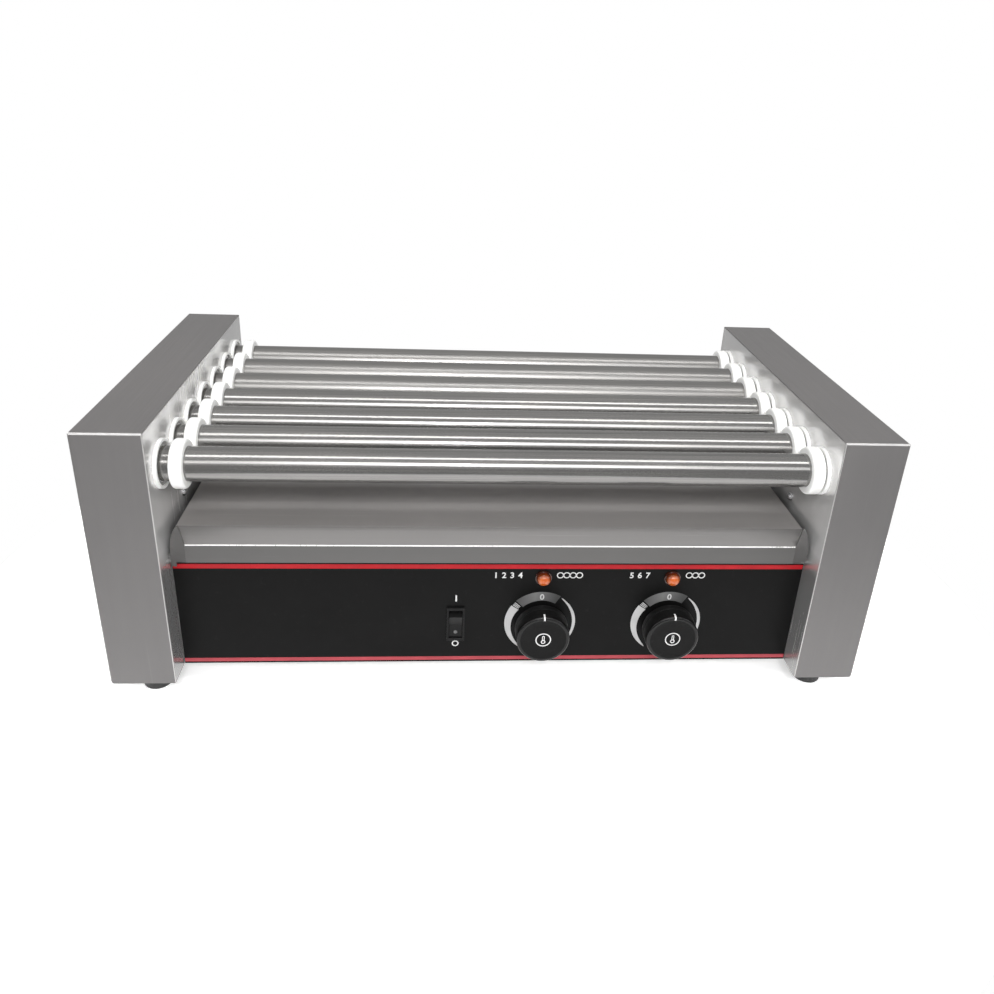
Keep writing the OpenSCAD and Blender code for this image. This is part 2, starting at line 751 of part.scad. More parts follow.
// The front lip: a plate with an ear at each end, bent back a little
module tray_lip() {
  t = cover_t;
  z0 = tray_bottom;
  z1 = tray_bottom + tray_lip_h;
  block([-lip_half, tray_y, z0], [lip_half, tray_y + t, z1]);
  for (s = [-1, 1]) side(s) translate([lip_half - eps, tray_y, z0]) rotate([0, 0, ear_turn])
    translate([0, t, 0]) rotate([90, 0, 0]) linear_extrude(t) tray_ear(hook = s < 0 ? 4.5 : 0);
}

// An ear runs up to the front corner of the shelf; its outer edge bows in to meet it there
module tray_ear(hook, bow_r = 36, straight = 9) {
  top = tray_lip_h + 15.4;
  hook_x = ear_w - 3.4;
  intersection() {
    polygon([[0, 0], [hook_x, 0], [hook_x, -hook], [ear_w, -hook], [ear_w, top], [3.6, top],
      [0, tray_lip_h]]);
    union() {
      translate([0, -hook]) square([ear_w, straight + hook]);
      translate([ear_w - bow_r, straight]) circle(r = bow_r);
    }
  }
}

// The sloping band above the lip, narrower at the front
module tray_slope() {
  z0 = tray_bottom + tray_lip_h;
  run = tray_shelf_y - tray_y;
  rise = tray_top - z0;
  t = cover_t;
  difference() {
    translate([-tray_half, 0, 0]) rotate([90, 0, 90]) linear_extrude(2 * tray_half)
      polygon([[tray_y, z0 - t], [tray_y, z0], [tray_shelf_y, tray_top], [tray_shelf_y, tray_top - t]]);
    for (s = [-1, 1]) side(s) translate([lip_half, tray_y, z0 - 5])
      rotate([0, 0, -atan2(tray_half - lip_half, run)]) block([0, -5, 0], [20, 30, rise + 10]);
  }
}

module drip_tray() {
  t = cover_t;
  pan_half = tray_half - 9;
  pan_back = tray_back - 8;
  color([0.68, 0.68, 0.69]) {
    tray_lip();
    tray_slope();
    // Flat top with the pan let into it
    difference() {
      block([-tray_half, tray_shelf_y - eps, tray_top - t], [tray_half, tray_back, tray_top]);
      block([-pan_half, tray_pan_y, tray_top - 2], [pan_half, pan_back, tray_top + 1]);
    }
    difference() {
      block([-pan_half - t, tray_pan_y - t, tray_bottom], [pan_half + t, pan_back + t, tray_top - eps]);
      block([-pan_half, tray_pan_y, tray_bottom + t], [pan_half, pan_back, tray_top + 1]);
    }
    // Skirts down the sides, to stand on the deck
    for (s = [-1, 1]) side(s)
      block([tray_half - t, tray_shelf_y, tray_bottom], [tray_half, tray_back, tray_top - eps]);
  }
}

end_cover(-1);  // left_end_cover
end_cover(1);  // right_end_cover
bearing_wall(-1);  // left_bearing_wall
bearing_wall(1);  // right_bearing_wall
base_plate(-1);  // left_base_plate
base_plate(1);  // right_base_plate
chassis_bottom();
front_panel();
rear_panel();
deck_plate();
panel_overlay();
rubber_feet();
foot_fasteners();
cover_screws();
chassis_screws();
tray_guide_screws();
wall_bushes(-1);  // left_wall_bushes
wall_bushes(1);  // right_wall_bushes
heating_elements();
element_insulators();
element_bracket(-1, bracket_lx);  // left_element_bracket
element_bracket(1, bracket_rx);  // right_element_bracket
drive_chain();
chain_guide();
gear_motor();
thermostat(front_knob_x);  // front_thermostat
thermostat(rear_knob_x);  // rear_thermostat
pilot_lamps();
switch_housing();
terminal_block();
cord_gland();
wiring_loom();
for (i = [0 : roller_count - 1]) {
  roller_tube(i);
  roller_collars(i);
  roller_sprocket(i);
}
motor_sprocket();
drip_tray();
knob(front_knob_x);  // front_knob
knob(rear_knob_x);  // rear_knob
knob_shaft(front_knob_x);  // front_knob_shaft
knob_shaft(rear_knob_x);  // rear_knob_shaft
switch_rocker();
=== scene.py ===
import json
import math

import bmesh
import bpy
from mathutils import Matrix, Vector
from mathutils.bvhtree import BVHTree

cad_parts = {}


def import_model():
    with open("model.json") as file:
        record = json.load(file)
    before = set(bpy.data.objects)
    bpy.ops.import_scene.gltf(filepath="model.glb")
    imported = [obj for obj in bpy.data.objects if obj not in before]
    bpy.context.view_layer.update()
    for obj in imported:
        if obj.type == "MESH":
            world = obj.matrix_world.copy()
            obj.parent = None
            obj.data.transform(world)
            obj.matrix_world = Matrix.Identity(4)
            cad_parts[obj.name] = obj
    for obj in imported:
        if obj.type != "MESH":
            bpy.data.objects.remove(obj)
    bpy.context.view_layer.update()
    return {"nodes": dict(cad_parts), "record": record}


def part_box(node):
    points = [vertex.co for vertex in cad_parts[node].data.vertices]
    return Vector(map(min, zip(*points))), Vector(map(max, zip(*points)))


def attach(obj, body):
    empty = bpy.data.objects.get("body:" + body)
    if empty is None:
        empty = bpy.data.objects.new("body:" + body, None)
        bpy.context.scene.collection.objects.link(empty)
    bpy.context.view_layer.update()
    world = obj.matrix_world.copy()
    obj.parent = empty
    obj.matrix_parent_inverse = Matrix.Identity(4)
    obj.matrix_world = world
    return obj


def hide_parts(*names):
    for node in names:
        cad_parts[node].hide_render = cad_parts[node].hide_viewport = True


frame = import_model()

# Hot dog roller grill: looks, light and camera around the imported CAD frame. Metres, CAD frame.

NODES = frame["nodes"]
MM = 0.001


# ---------------------------------------------------------------- materials

def set_inputs(node, values):
    for key, value in values.items():
        node.inputs[key].default_value = value


class Shader:
    """A principled material with helpers for the noise that drives its colour, gloss and relief."""

    def __init__(self, name, **constants):
        self.mat = bpy.data.materials.new(name)
        self.mat.use_nodes = True
        self.tree = self.mat.node_tree
        self.tree.nodes.clear()
        out = self.tree.nodes.new("ShaderNodeOutputMaterial")
        self.bsdf = self.tree.nodes.new("ShaderNodeBsdfPrincipled")
        set_inputs(self.bsdf, constants)
        self.link(self.bsdf.outputs["BSDF"], out.inputs["Surface"])
        self.coords = self.tree.nodes.new("ShaderNodeTexCoord").outputs["Object"]

    def link(self, a, b):
        self.tree.links.new(a, b)

    def put(self, socket, value):
        """A number, a colour or another node's output into a socket."""
        if isinstance(value, bpy.types.NodeSocket):
            self.link(value, socket)
        else:
            socket.default_value = (*value, 1) if isinstance(value, tuple) else value

    def node(self, kind, links=None, values=None):
        n = self.tree.nodes.new(kind)
        set_inputs(n, values or {})
        for key, socket in (links or {}).items():
            self.link(socket, n.inputs[key])
        return n

    def noise(self, scale, stretch=(1, 1, 1), detail=3.0, roughness=0.55, offset=(0, 0, 0)):
        place = self.node("ShaderNodeMapping", {"Vector": self.coords},
                          {"Scale": stretch, "Location": offset})
        n = self.node("ShaderNodeTexNoise", {"Vector": place.outputs["Vector"]},
                      {"Scale": scale, "Detail": detail, "Roughness": roughness})
        return n.outputs["Fac"]

    def remap(self, value, low, high, to_low=0.0, to_high=1.0):
        n = self.node("ShaderNodeMapRange", {"Value": value},
                      {"From Min": low, "From Max": high, "To Min": to_low, "To Max": to_high})
        n.clamp = True
        return n.outputs["Result"]

    def math(self, operation, a, b):
        n = self.node("ShaderNodeMath")
        n.operation = operation
        self.put(n.inputs[0], a)
        self.put(n.inputs[1], b)
        return n.outputs[0]

    def mix(self, factor, a, b):
        n = self.node("ShaderNodeMix")
        n.data_type = "RGBA"
        self.put(n.inputs["Factor"], factor)
        ends = [socket for socket in n.inputs if socket.type == "RGBA"]
        self.put(ends[0], a)
        self.put(ends[1], b)
        return next(socket for socket in n.outputs if socket.type == "RGBA")

    def place(self, axis):
        """A coordinate in the CAD frame."""
        return self.node("ShaderNodeSeparateXYZ", {"Vector": self.coords}).outputs[axis.upper()]

    def colour(self, socket):
        self.link(socket, self.bsdf.inputs["Base Color"])

    def roughness(self, socket):
        self.link(socket, self.bsdf.inputs["Roughness"])

    def relief(self, height, distance):
        n = self.node("ShaderNodeBump", {"Height": height}, {"Distance": distance})
        self.link(n.outputs["Normal"], self.bsdf.inputs["Normal"])


def shade(colour, k):
    return tuple(c * k for c in colour)


def drawn_out(along, share):
    """Noise scales that stretch a pattern along one axis."""
    return tuple(share if axis == along else 1.0 for axis in "xyz")


def brushed(name, colour, rough, along, contrast=0.07, blotch=0.08, relief=0.00002, metal=0.55,
            painted_shades=(), scored=0.3):
    """Brushed sheet steel: fine scratches along one axis, cloudy handling marks, a few deeper scores.

    Each painted shade darkens part of a sheet towards black: (axis, from, to, share of the colour at from,
    share at to).
    """
    s = Shader(name, Metallic=metal)
    grain = s.noise(900.0, drawn_out(along, 0.012), detail=4.0, roughness=0.7)
    broad = s.noise(160.0, drawn_out(along, 0.05), detail=2.0)
    cloud = s.noise(7.0, detail=4.0, offset=(3.1, 1.7, 0.4))
    deep = s.noise(420.0, drawn_out(along, 0.02), detail=1.0, offset=(9.0, 4.0, 2.0))
    tone = s.math("ADD", s.math("MULTIPLY", grain, 0.6), s.math("MULTIPLY", broad, 0.4))
    body = s.mix(s.remap(tone, 0.30, 0.70), shade(colour, 1 - contrast), shade(colour, 1 + contrast))
    warm_light = tuple(c * (1 + blotch * k) for c, k in zip(colour, (1, 0.93, 0.9)))
    warm = s.mix(s.remap(cloud, 0.35, 0.68), shade(colour, 1 - blotch), warm_light)
    scores = s.math("MULTIPLY", s.remap(deep, 0.70, 0.78), scored)
    sheet = s.mix(scores, s.mix(0.5, body, warm), shade(colour, 1.5))
    # Painted shade: each entry darkens the colour towards black along one axis
    for axis, low, high, at_low, at_high in painted_shades:
        share = s.remap(s.place(axis), low, high, at_low, at_high)
        sheet = s.mix(share, (0.0, 0.0, 0.0), sheet)
    s.colour(sheet)
    s.roughness(s.math("ADD", s.remap(cloud, 0.3, 0.7, rough - 0.05, rough + 0.06),
                       s.remap(grain, 0.3, 0.7, -0.05, 0.05)))
    s.relief(tone, relief)
    return s.mat


def polished_tube(name, colour, rough):
    """Polished tube: fine drawn streaks and smears along it, faint heat tint, a few dull spots."""
    s = Shader(name, Metallic=0.88)
    streak = s.noise(900.0, (0.006, 1.0, 1.0), detail=3.0, roughness=0.6)
    smear = s.noise(26.0, (0.25, 1.0, 1.0), detail=4.0)
    tint = s.noise(9.0, (0.6, 1.0, 1.0), detail=3.0, offset=(5.0, 2.0, 0.0))
    spots = s.remap(s.noise(520.0, detail=1.0, offset=(1.0, 7.0, 3.0)), 0.72, 0.80)
    tone = s.math("ADD", s.math("MULTIPLY", streak, 0.7), s.math("MULTIPLY", tint, 0.3))
    base = s.mix(s.remap(tone, 0.32, 0.68), shade(colour, 0.80),
                 tuple(c * k for c, k in zip(colour, (1.22, 1.20, 1.16))))
    s.colour(s.mix(s.math("MULTIPLY", spots, 0.35), base, shade(colour, 0.55)))
    s.roughness(s.math("ADD", s.remap(smear, 0.3, 0.75, rough - 0.02, rough + 0.05),
                       s.remap(streak, 0.3, 0.7, -0.03, 0.04)))
    s.relief(streak, 0.0000006)
    return s.mat


def moulded(name, colour, rough, grain=1500.0, relief=0.00001, vary=0.10, dusty=0.10, **constants):
    """Moulded plastic, rubber or ceramic: fine skin texture, soft colour change, dust and rubbed spots."""
    s = Shader(name, **constants)
    fine = s.noise(grain, detail=3.0)
    cloud = s.noise(38.0, detail=4.0, offset=(2.0, 5.0, 1.0))
    dust = s.remap(s.noise(240.0, detail=2.0, offset=(7.0, 1.0, 4.0)), 0.62, 0.80)
    body = s.mix(s.remap(cloud, 0.3, 0.7), shade(colour, 1 - vary), shade(colour, 1 + vary))
    s.colour(s.mix(s.math("MULTIPLY", dust, dusty), body, (0.42, 0.41, 0.40)))
    s.roughness(s.math("ADD", s.remap(cloud, 0.3, 0.7, rough - 0.05, rough + 0.06),
                       s.remap(fine, 0.3, 0.7, -0.03, 0.03)))
    s.relief(fine, relief)
    return s.mat


def cast_metal(name, colour, rough, grain=700.0, relief=0.00006, stain=(0.10, 0.08, 0.06)):
    """Cast or oiled metal: pitted skin with darker oil in it."""
    s = Shader(name, Metallic=1.0)
    pits = s.noise(grain, detail=4.0)
    oil = s.noise(60.0, detail=4.0, offset=(4.0, 4.0, 1.0))
    body = s.mix(s.remap(pits, 0.3, 0.7), shade(colour, 0.85), shade(colour, 1.12))
    s.colour(s.mix(s.remap(oil, 0.52, 0.75, 0.0, 0.7), body, stain))
    s.roughness(s.remap(oil, 0.35, 0.7, rough - 0.08, rough + 0.10))
    s.relief(pits, relief)
    return s.mat


def printed(name, colour, rough=0.32):
    """Screen-printed ink: a slightly uneven film with pinholes."""
    s = Shader(name, **{"Specular IOR Level": 0.2})
    film = s.noise(900.0, detail=3.0)
    cloud = s.noise(60.0, detail=3.0, offset=(3.0, 3.0, 9.0))
    body = s.mix(s.remap(cloud, 0.3, 0.7), shade(colour, 0.90), shade(colour, 1.08))
    s.colour(s.mix(s.remap(film, 0.70, 0.82, 0.0, 0.5), body, shade(colour, 0.6)))
    s.roughness(s.remap(film, 0.3, 0.7, rough - 0.05, rough + 0.08))
    s.relief(film, 0.000008)
    return s.mat


HOUSING = (0.215, 0.206, 0.204)
# Painted shade on the inner walls: darker at the height of the tray and below, and again towards their top
WALL_PAINTED_SHADE = [("z", 0.108, 0.126, 0.42, 1.0), ("z", 0.150, 0.190, 1.0, 0.72)]
KNOB_BLACK = (0.0055, 0.0055, 0.0055)
# The looks, each by its own short name; more are added below
M = {
    "housing": brushed("housing_steel", HOUSING, 0.42, "z", blotch=0.07),
    # Painted light and shade: lit and shaded copies of the housing steel for the covers' front faces and top
    # faces
    "front": brushed("housing_front_steel_painted_shade", (0.150, 0.145, 0.144), 0.60, "z", blotch=0.10, metal=0.25,
                     scored=0.12),
    "top": brushed("housing_top_steel_painted_shade", shade(HOUSING, 0.86), 0.40, "y", blotch=0.10, scored=0.15),
    # The inner walls' pale base is painted light for walls that stand in shade; their fades are painted shade
    "wall": brushed("wall_steel_painted_light_and_shade", (0.90, 0.895, 0.888), 0.21, "z", contrast=0.03, metal=0.65,
                    relief=0.000006, painted_shades=WALL_PAINTED_SHADE),
    "chassis": brushed("chassis_steel", (0.27, 0.268, 0.265), 0.36, "x", contrast=0.06),
    # A bright steel for painted highlights on the tray's rounded edges and along its lip's bend
    "edge": brushed("edge_painted_highlight", (0.78, 0.77, 0.76), 0.30, "z", contrast=0.12, blotch=0.10, metal=0.6),
    # A bright steel for a painted highlight on the covers' rounded front edges
    "corner": brushed("cover_edge_painted_highlight", (0.50, 0.495, 0.49), 0.34, "z", contrast=0.15, blotch=0.25, metal=0.6),
    "tray": brushed("tray_steel", (0.165, 0.160, 0.157), 0.42, "x"),
    # Painted light and shade: a lit copy of the tray steel for its top faces, a shaded copy for its front
    # faces
    "shelf": brushed("tray_top_steel_painted_light", (0.420, 0.403, 0.394), 0.40, "x"),
    "lip": brushed("tray_lip_steel_painted_shade", (0.116, 0.113, 0.111), 0.42, "x"),
    "tube": polished_tube("roller_steel", (0.240, 0.238, 0.236), 0.17),
    # The rear rollers: rougher, and a little darker as painted shade
    "dull_shaded_tube": polished_tube("rear_roller_steel_painted_shade", (0.225, 0.222, 0.220), 0.30),
    "screw": cast_metal("screw_steel", (0.62, 0.62, 0.63), 0.22, 1500.0, 0.00001, (0.35, 0.34, 0.33)),
    "drive": cast_metal("drive_steel", (0.30, 0.29, 0.28), 0.38),
    "motor": cast_metal("motor_casting", (0.48, 0.49, 0.50), 0.46, 500.0, 0.00012, (0.25, 0.24, 0.22)),
    "element": cast_metal("element_sheath", (0.16, 0.13, 0.11), 0.50, 900.0, 0.00004, (0.05, 0.035, 0.03)),
    "white": moulded("white_ptfe", (0.90, 0.90, 0.885), 0.36, 1100.0, 0.000008, 0.025,
                     **{"Subsurface Weight": 0.15, "Subsurface Radius": (0.004, 0.004, 0.0035),
                        "Subsurface Scale": 0.5}),
    "ceramic": moulded("ceramic", (0.72, 0.69, 0.62), 0.55, 900.0, 0.00002, 0.05),
    "case": moulded("thermostat_case", (0.66, 0.63, 0.56), 0.48, 1200.0, 0.00001, 0.05),
    "overlay": moulded("overlay_film", (0.0045, 0.0045, 0.0045), 0.36, 700.0, 0.000006, 0.12, 0.008,
                       **{"Specular IOR Level": 0.08}),
    "black": moulded("black_plastic", (0.0065, 0.0065, 0.0065), 0.36, 1500.0, 0.000015, 0.15, 0.02,
                     **{"Specular IOR Level": 0.15}),
    "knob": moulded("knob_plastic", KNOB_BLACK, 0.42, 1700.0, 0.00001, 0.15, 0.01,
                    **{"Specular IOR Level": 0.10}),
    "gloss": moulded("knob_rim", KNOB_BLACK, 0.20, 1700.0, 0.000004, 0.15, 0.01,
                     **{"Specular IOR Level": 0.28}),
    "rubber": moulded("foot_rubber", (0.020, 0.020, 0.020), 0.62, 1000.0, 0.00004, 0.20),
    "wire": moulded("wire_jacket", (0.42, 0.05, 0.035), 0.45, 900.0, 0.00002, 0.10),
    "red": printed("print_red", (0.40, 0.008, 0.014)),
    "faded": printed("print_red_faded", (0.34, 0.048, 0.060)),
    "light": printed("print_light", (0.43, 0.43, 0.43)),
    "pale": printed("print_white", (0.62, 0.62, 0.62)),
    "dim": printed("print_dim", (0.110, 0.110, 0.110)),
}


def amber():
    """Clear amber lenses: deep orange, streaked by the moulding, and darker round the rim as painted shade.
    """
    s = Shader("amber_lens", **{"IOR": 1.49, "Transmission Weight": 0.15, "Coat Weight": 0.7,
                                "Coat Roughness": 0.05, "Emission Strength": 0.04})
    lo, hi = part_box("pilot_lamps")
    r = (hi.z - lo.z) / 2
    middle, spread = (lo.x + hi.x) / 2, (hi.x - lo.x) / 2 - r
    # How far a point is from the axis of the nearer lamp
    x = s.math("SUBTRACT", s.math("ABSOLUTE", s.math("SUBTRACT", s.place("x"), middle), 0.0), spread)
    z = s.math("SUBTRACT", s.place("z"), (lo.z + hi.z) / 2)
    away = s.math("POWER", s.math("ADD", s.math("MULTIPLY", x, x), s.math("MULTIPLY", z, z)), 0.5)
    streak = s.noise(260.0, (1.0, 0.3, 1.0), detail=3.0)
    tone = s.mix(s.remap(streak, 0.3, 0.7), (0.46, 0.075, 0.008), (0.60, 0.130, 0.014))
    # Painted shade: the lens darkens towards its rim
    tone = s.mix(s.remap(away, 0.50 * r, 0.92 * r), tone, (0.045, 0.008, 0.002))
    s.colour(tone)
    s.link(tone, s.bsdf.inputs["Emission Color"])
    s.roughness(s.remap(streak, 0.3, 0.7, 0.14, 0.26))
    s.relief(streak, 0.00004)
    return s.mat


M["amber"] = amber()


def dial_ink(name, x_light):
    """Dark printed ink that is paler around one place along X."""
    s = Shader(name, Roughness=0.34, **{"Specular IOR Level": 0.2})
    away = s.math("ABSOLUTE", s.math("SUBTRACT", s.place("x"), x_light), 0.0)
    film = s.noise(900.0, detail=3.0)
    pale = s.math("MULTIPLY", s.remap(away, 0.0, PALE_REACH, 1.0, 0.0), s.remap(film, 0.2, 0.6, 0.9, 1.0))
    s.colour(s.mix(pale, (0.052, 0.052, 0.052), (0.175, 0.175, 0.175)))
    s.relief(film, 0.000008)
    return s.mat


def middle_xz(node):
    """The middle of a node's box, seen from the front."""
    lo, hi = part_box(node)
    return (lo.x + hi.x) / 2, (lo.z + hi.z) / 2


# The dials are palest a little to the left of their middle
PALE_SHIFT = 5 * MM
PALE_REACH = 17 * MM
for end in ("front", "rear"):
    M[end + "_dial"] = dial_ink(end + "_dial_ink", middle_xz(end + "_knob")[0] - PALE_SHIFT)

CAD_LOOKS = {
    "housing": ["left_end_cover", "right_end_cover"],
    "wall": ["left_bearing_wall", "right_bearing_wall"],
    "chassis": ["left_base_plate", "right_base_plate", "chassis_bottom", "front_panel", "rear_panel",
                "deck_plate", "left_element_bracket", "right_element_bracket"],
    "tray": ["drip_tray"],
    "tube": [f"roller_tube_{i}" for i in range(1, 5)],
    "dull_shaded_tube": [f"roller_tube_{i}" for i in range(5, 8)],
    "screw": ["foot_fasteners", "cover_screws", "chassis_screws", "tray_guide_screws",
              "front_knob_shaft", "rear_knob_shaft"],
    "white": ["left_wall_bushes", "right_wall_bushes", "chain_guide"]
             + [f"roller_collars_{i}" for i in range(1, 8)],
    "drive": ["drive_chain", "motor_sprocket"] + [f"roller_sprocket_{i}" for i in range(1, 8)],
    "motor": ["gear_motor"],
    "element": ["heating_elements"],
    "ceramic": ["element_insulators", "terminal_block"],
    "case": ["front_thermostat", "rear_thermostat"],
    "overlay": ["panel_overlay"],
    "black": ["switch_housing", "switch_rocker", "cord_gland"],
    "knob": ["front_knob", "rear_knob"],
    "rubber": ["rubber_feet"],
    "wire": ["wiring_loom"],
    "amber": ["pilot_lamps"],
}
for look, names in CAD_LOOKS.items():
    for name in names:
        NODES[name].data.materials.clear()
        NODES[name].data.materials.append(M[look])

BODIES = frame["record"]["behaviour"]["bodies"]


def body_of(node):
    return next(b for b, names in BODIES.items() if node in names)


# ------------------------------------------------------------- mesh helpers

def add_mesh(name, bm, look, body, smooth=True):
    me = bpy.data.meshes.new(name)
    bmesh.ops.recalc_face_normals(bm, faces=bm.faces)
    bm.to_mesh(me)
    bm.free()
    ob = bpy.data.objects.new(name, me)
    bpy.context.scene.collection.objects.link(ob)
    me.materials.append(M[look])
    if smooth:
        me.shade_smooth()
        me.set_sharp_from_angle(angle=math.radians(35.0))
    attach(ob, body)
    return ob


def softened(node, width):
    """A copy of a CAD node with its sharp edges rounded over, shown in the node's place."""
    bm = bmesh.new()
    bm.from_mesh(NODES[node].data)
    # One face for each flat side, so that only true edges are rounded
    bmesh.ops.remove_doubles(bm, verts=bm.verts, dist=2e-6)
    bmesh.ops.dissolve_limit(bm, angle_limit=math.radians(0.4), verts=bm.verts, edges=bm.edges)
    look = next(k for k, names in CAD_LOOKS.items() if node in names)
    ob = add_mesh(node + "_soft", bm, look, body_of(node))
    bevel = ob.modifiers.new("bevel", "BEVEL")
    bevel.width = width
    bevel.segments = 2
    bevel.limit_method = "ANGLE"
    bevel.angle_limit = math.radians(30.0)
    bevel.use_clamp_overlap = True
    flats = ob.modifiers.new("flats", "WEIGHTED_NORMAL")
    flats.weight = 100
    flats.keep_sharp = True
    if look == "tray":
        # Painted highlight: the tray's rounded edges take a bright steel
        ob.data.materials.append(M["edge"])
        bevel.material = 1
    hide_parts(node)
    return ob


def lathe(bm, profile, centre, segments=96):
    """A closed surface of revolution about the Y axis. profile is a list of (radius, y) from end to end."""
    cx, cz = centre
    rings = []
    for r, y in profile:
        if r < 1e-9:
            rings.append([bm.verts.new((cx, y, cz))])
        else:
            rings.append([bm.verts.new((cx + r * math.cos(t), y, cz + r * math.sin(t)))
                          for t in (2 * math.pi * k / segments for k in range(segments))])
    for a, b in zip(rings, rings[1:]):
        for k in range(segments):
            n = (k + 1) % segments
            if len(a) == 1:
                bm.faces.new((a[0], b[k], b[n]))
            elif len(b) == 1:
                bm.faces.new((a[k], b[0], a[n]))
            else:
                bm.faces.new((a[k], b[k], b[n], a[n]))


def prism(bm, outline, y0, y1):
    """A flat shape drawn as (x, z) points, from y0 to y1."""
    front = [bm.verts.new((x, y0, z)) for x, z in outline]
    back = [bm.verts.new((x, y1, z)) for x, z in outline]
    bm.faces.new(front)
    bm.faces.new(back[::-1])
    for k in range(len(outline)):
        n = (k + 1) % len(outline)
        bm.faces.new((front[k], back[k], back[n], front[n]))


def arc(cx, cz, r, a0, a1, steps=40):
    """Points on a circle; angles are clockwise from straight up, in degrees."""
    return [(cx + r * math.sin(math.radians(a)), cz + r * math.cos(math.radians(a)))
            for a in (a0 + (a1 - a0) * k / steps for k in range(steps + 1))]


def closed_ring(bm, place, radii, ends, steps):
    """A ring of four-sided section. place turns a radius, an angle and an end into a point."""
    (r_out, r_in), (d0, d1) = radii, ends
    rows = [[bm.verts.new(place(r, 2 * math.pi * k / steps, d)) for k in range(steps)]
            for r, d in ((r_out, d0), (r_in, d0), (r_in, d1), (r_out, d1))]
    for a, b in zip(rows, rows[1:] + rows[:1]):
        for k in range(steps):
            n = (k + 1) % steps
            bm.faces.new((a[k], b[k], b[n], a[n]))


def ring_band(bm, cx, cz, radii, ends, steps):
    """A closed flat ring that faces front."""
    closed_ring(bm, lambda r, t, y: (cx + r * math.sin(t), y, cz + r * math.cos(t)), radii, ends, steps)


def digits(bm, text, size, x, z, ends, align="LEFT", spacing=1.0):
    """Numerals as a thin solid between two depths; x, z is the left (or middle) of the baseline."""
    y0, y1 = ends
    curve = bpy.data.curves.new("digits", "FONT")
    curve.body = text
    curve.size = size
    curve.align_x = align
    curve.space_character = spacing
    curve.resolution_u = 3
    curve.offset = size * 0.018
    curve.extrude = (y1 - y0) / 2
    holder = bpy.data.objects.new("digits", curve)
    bpy.context.scene.collection.objects.link(holder)
    bpy.context.view_layer.update()
    me = bpy.data.meshes.new_from_object(holder.evaluated_get(bpy.context.evaluated_depsgraph_get()))
    me.transform(Matrix.Translation((x, (y0 + y1) / 2, z)) @ Matrix.Rotation(math.pi / 2, 4, "X"))
    bm.from_mesh(me)
    bmesh.ops.remove_doubles(bm, verts=bm.verts, dist=1e-7)
    bpy.data.objects.remove(holder)
    bpy.data.curves.remove(curve)
    bpy.data.meshes.remove(me)


# -------------------------------------------------------- softened CAD parts

# How wide each part's edges are rounded, in mm
EDGE_WIDTHS = {
    "left_end_cover": 0.5, "right_end_cover": 0.5, "left_bearing_wall": 0.35, "right_bearing_wall": 0.35,
    "drip_tray": 0.35, "deck_plate": 0.35, "front_panel": 0.3, "rear_panel": 0.3, "left_base_plate": 0.3,
    "right_base_plate": 0.3, "rubber_feet": 0.8, "switch_housing": 0.5, "switch_rocker": 0.7,
    "cord_gland": 0.5,
}
for node, width in EDGE_WIDTHS.items():
    softened(node, width * MM)

# A cover's edge beside its wall lies within this X
COVER_EDGE_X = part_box("right_bearing_wall")[0].x + 2 * MM


def on_edge(face):
    """The rounded front edges of a cover that catch the light: along its top, and beside the wall."""
    n = face.normal
    along_top = 0.45 < n.z < 0.85
    upright = 0.2 < abs(n.x) < 0.97 and abs(face.center.x) < COVER_EDGE_X
    return n.y < -0.2 and (along_top or upright)


def grain(piece, top, front):
    """Lit and shaded copies of a look as painted light and shade: one for a piece's top faces and one for its
    front faces; a cover's rounded front edges get a painted highlight.
    """
    me = bpy.data.objects[piece].data
    if len(me.materials) == 1:
        me.materials.append(M["corner"])
    me.materials.append(M[top])
    me.materials.append(M[front])
    covers = top == "top"
    for face in me.polygons:
        # Painted light and shade: the top faces and the front faces take their lit or shaded copy of the look
        if face.normal.z > 0.9:
            face.material_index = 2
        elif face.normal.y < -0.9:
            face.material_index = 3
        # Painted highlight on a cover's rounded front edges
        elif covers and on_edge(face):
            face.material_index = 1


grain("drip_tray_soft", "shelf", "lip")
grain("left_end_cover_soft", "top", "front")
grain("right_end_cover_soft", "top", "front")

BEAD_HALF = 227.0 * MM
BEAD_R = 0.55 * MM
# The bead's axis, from the front and the underside of the tray
BEAD_BACK = 0.38 * MM
BEAD_UP = 19.14 * MM


def lip_highlight_bead():
    """A painted highlight along the bend between the lip and the sloping band: a thin bright rod along its
    length.
    """
    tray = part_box("drip_tray")[0]
    y, z = tray.y + BEAD_BACK, tray.z + BEAD_UP
    bm = bmesh.new()
    n = 10
    left, right = ([bm.verts.new((x, y + BEAD_R * math.cos(t), z + BEAD_R * math.sin(t)))
                    for t in (2 * math.pi * k / n for k in range(n))] for x in (-BEAD_HALF, BEAD_HALF))
    for k in range(n):
        m = (k + 1) % n
        bm.faces.new((left[k], left[m], right[m], right[k]))
    bm.faces.new(left[::-1])
    bm.faces.new(right)
    add_mesh("lip_highlight_bead", bm, "edge", "tray")


lip_highlight_bead()

# ----------------------------------------------------------- printed overlay

over_lo, over_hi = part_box("panel_overlay")
# The ink stands a little proud of the film
PRINT = (over_lo.y - 0.05 * MM, over_lo.y + 0.03 * MM)
STRIPE_HALF = over_hi.x - 0.3 * MM
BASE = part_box("left_end_cover")[0].z

# Heights over the foot of the covers, and sizes, in mm
UPPER_STRIPE = (87.4, 91.3)
LOWER_STRIPE = (1.9, 5.2)
TEXT_Z, TEXT_SIZE = 79.2, 7.0
CHAIN_Z, CHAIN_PITCH, CHAIN_RADII = 81.6, 4.95, (2.75, 1.95)
ON_Z, ON_HALF = (57.6, 63.4), 0.55
OFF_Z, OFF_RADII = 17.9, (2.7, 1.85)
